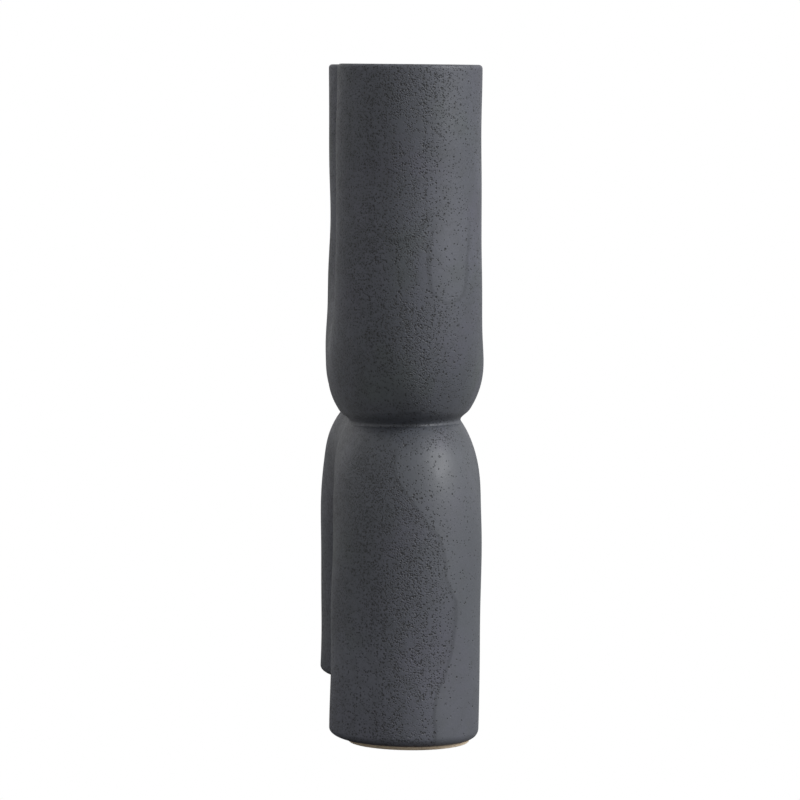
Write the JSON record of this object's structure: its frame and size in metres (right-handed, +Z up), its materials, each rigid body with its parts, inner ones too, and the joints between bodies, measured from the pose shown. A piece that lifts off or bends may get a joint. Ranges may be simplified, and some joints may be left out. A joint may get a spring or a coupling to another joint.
{
  "type": "stoneware vase",
  "caption": "Sculptural stoneware vase: an upright half ring of thick tube with two open mouths, luted at a pinched waist on an upturned half ring that stands on two closed feet.",
  "frame": {"origin": "on the ground, midway between the two feet", "axes": "+X from the far column to the near column, +Y across the tubes, +Z up"},
  "size_m": [0.3444, 0.0952, 0.4],
  "materials": {
    "charcoal_glaze": "matte charcoal glaze with fine dark pits and soft overlapping runs",
    "bare_clay": "unglazed fired stoneware, cream to tan, fine grog"
  },
  "bodies": {
    "root": {"near_arm_tube": "charcoal_glaze", "far_arm_tube": "charcoal_glaze", "near_bowl_elbow": "charcoal_glaze", "far_bowl_elbow": "charcoal_glaze", "waist_collar": "charcoal_glaze", "near_arch_elbow": "charcoal_glaze", "far_arch_elbow": "charcoal_glaze", "near_foot_ring": "charcoal_glaze", "far_foot_ring": "charcoal_glaze", "waist_slab": "bare_clay", "near_foot_plate": "bare_clay", "far_foot_plate": "bare_clay"}
  },
  "joints": []
}
